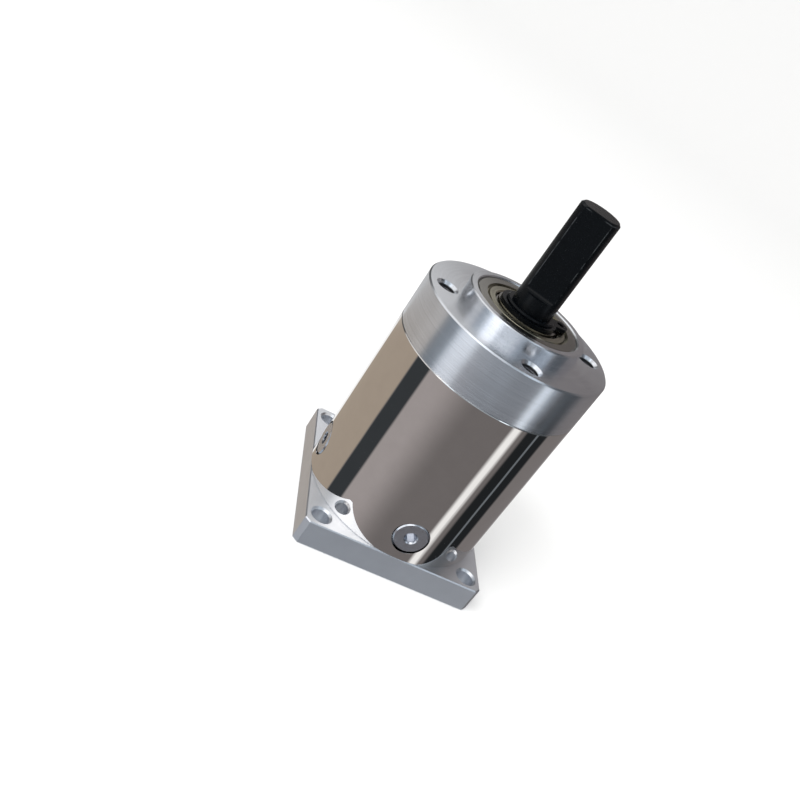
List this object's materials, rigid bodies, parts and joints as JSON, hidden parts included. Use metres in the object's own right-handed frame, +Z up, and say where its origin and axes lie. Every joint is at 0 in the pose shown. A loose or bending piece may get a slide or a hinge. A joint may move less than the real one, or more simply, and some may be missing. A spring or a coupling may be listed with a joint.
{
  "type": "planetary gearbox",
  "caption": "Two-stage planetary gearbox: square motor flange, chromed ring-gear tube, round aluminium cap and a D-cut output shaft in line with the motor.",
  "frame": {"origin": "centre of the flange's motor face, on the gear axis", "axes": "+Z up along the output shaft, away from the motor; X and Y square to the flange's sides"},
  "size_m": [0.057, 0.057, 0.1125],
  "materials": {
    "machined_aluminium": "satin turned and milled",
    "chromed_steel": "mirror plated",
    "screw_steel": "dark grey, fine turned",
    "black_oxide_steel": "black oxide, satin",
    "black_gear_steel": "black oxide, dull",
    "carrier_steel": "turned",
    "ground_steel": "ground and polished",
    "bearing_steel": "ground",
    "pressed_steel": "pressed sheet",
    "washer_steel": "hardened washer",
    "gear_steel": "hobbed",
    "bronze": "sintered bronze"
  },
  "bodies": {
    "housing": {"input_flange": "machined_aluminium", "tube_screws": "screw_steel", "ring_gear_tube": "chromed_steel", "output_cap": "machined_aluminium", "input_thrust_plate": "washer_steel", "rear_bearing_outer_ring": "bearing_steel", "rear_bearing_shields": "pressed_steel", "front_bearing_outer_ring": "bearing_steel", "front_bearing_shields": "pressed_steel"},
    "output": {"output_shaft": "black_oxide_steel", "second_planet_pins": "ground_steel", "second_planet_washers": "washer_steel", "shaft_circlip": "black_oxide_steel", "rear_bearing_inner_ring": "bearing_steel", "front_bearing_inner_ring": "bearing_steel"},
    "first_stage_carrier": {"first_carrier": "carrier_steel", "first_planet_pins": "ground_steel", "first_planet_washers": "washer_steel", "second_sun": "carrier_steel", "stage_thrust_ring": "washer_steel"},
    "pinion": {"input_pinion": "black_gear_steel"},
    "rear_ball_set": {"rear_bearing_balls": "ground_steel", "rear_bearing_cage": "pressed_steel"},
    "front_ball_set": {"front_bearing_balls": "ground_steel", "front_bearing_cage": "pressed_steel"},
    "first_planet_a": {"first_planet_gear_a": "gear_steel", "first_planet_bush_a": "bronze"},
    "first_planet_b": {"first_planet_gear_b": "gear_steel", "first_planet_bush_b": "bronze"},
    "first_planet_c": {"first_planet_gear_c": "gear_steel", "first_planet_bush_c": "bronze"},
    "second_planet_a": {"second_planet_gear_a": "gear_steel", "second_planet_bush_a": "bronze"},
    "second_planet_b": {"second_planet_gear_b": "gear_steel", "second_planet_bush_b": "bronze"},
    "second_planet_c": {"second_planet_gear_c": "gear_steel", "second_planet_bush_c": "bronze"}
  },
  "joints": [
    {"name": "output_spin", "type": "hinge", "parent": "housing", "child": "output", "pos_m": [0, 0, 0.0475], "axis": [0, 0, 1], "continuous": true},
    {"name": "first_carrier_spin", "type": "hinge", "parent": "housing", "child": "first_stage_carrier", "pos_m": [0, 0, 0.0329], "axis": [0, 0, 1], "continuous": true},
    {"name": "pinion_spin", "type": "hinge", "parent": "housing", "child": "pinion", "pos_m": [0, 0, 0.0241], "axis": [0, 0, 1], "continuous": true},
    {"name": "rear_ball_set_spin", "type": "hinge", "parent": "housing", "child": "rear_ball_set", "pos_m": [0, 0, 0.0608], "axis": [0, 0, 1], "continuous": true},
    {"name": "front_ball_set_spin", "type": "hinge", "parent": "housing", "child": "front_ball_set", "pos_m": [0, 0, 0.0752], "axis": [0, 0, 1], "continuous": true},
    {"name": "first_planet_a_spin", "type": "hinge", "parent": "first_stage_carrier", "child": "first_planet_a", "pos_m": [0, 0.0165, 0.0256], "axis": [0, 0, 1], "continuous": true},
    {"name": "first_planet_b_spin", "type": "hinge", "parent": "first_stage_carrier", "child": "first_planet_b", "pos_m": [-0.01429, -0.00825, 0.0256], "axis": [0, 0, 1], "continuous": true},
    {"name": "first_planet_c_spin", "type": "hinge", "parent": "first_stage_carrier", "child": "first_planet_c", "pos_m": [0.01429, -0.00825, 0.0256], "axis": [0, 0, 1], "continuous": true},
    {"name": "second_planet_a_spin", "type": "hinge", "parent": "output", "child": "second_planet_a", "pos_m": [0, 0.0165, 0.0415], "axis": [0, 0, 1], "continuous": true},
    {"name": "second_planet_b_spin", "type": "hinge", "parent": "output", "child": "second_planet_b", "pos_m": [-0.01429, -0.00825, 0.0415], "axis": [0, 0, 1], "continuous": true},
    {"name": "second_planet_c_spin", "type": "hinge", "parent": "output", "child": "second_planet_c", "pos_m": [0.01429, -0.00825, 0.0415], "axis": [0, 0, 1], "continuous": true}
  ],
  "couplings": [
    {"joint": "first_carrier_spin", "follows": "output_spin", "ratio": 3.8824},
    {"joint": "pinion_spin", "follows": "output_spin", "ratio": 15.073},
    {"joint": "rear_ball_set_spin", "follows": "output_spin", "ratio": 0.40846},
    {"joint": "front_ball_set_spin", "follows": "output_spin", "ratio": 0.39872},
    {"joint": "first_planet_a_spin", "follows": "output_spin", "ratio": -11.89},
    {"joint": "first_planet_b_spin", "follows": "output_spin", "ratio": -11.89},
    {"joint": "first_planet_c_spin", "follows": "output_spin", "ratio": -11.89},
    {"joint": "second_planet_a_spin", "follows": "output_spin", "ratio": -3.0625},
    {"joint": "second_planet_b_spin", "follows": "output_spin", "ratio": -3.0625},
    {"joint": "second_planet_c_spin", "follows": "output_spin", "ratio": -3.0625}
  ]
}
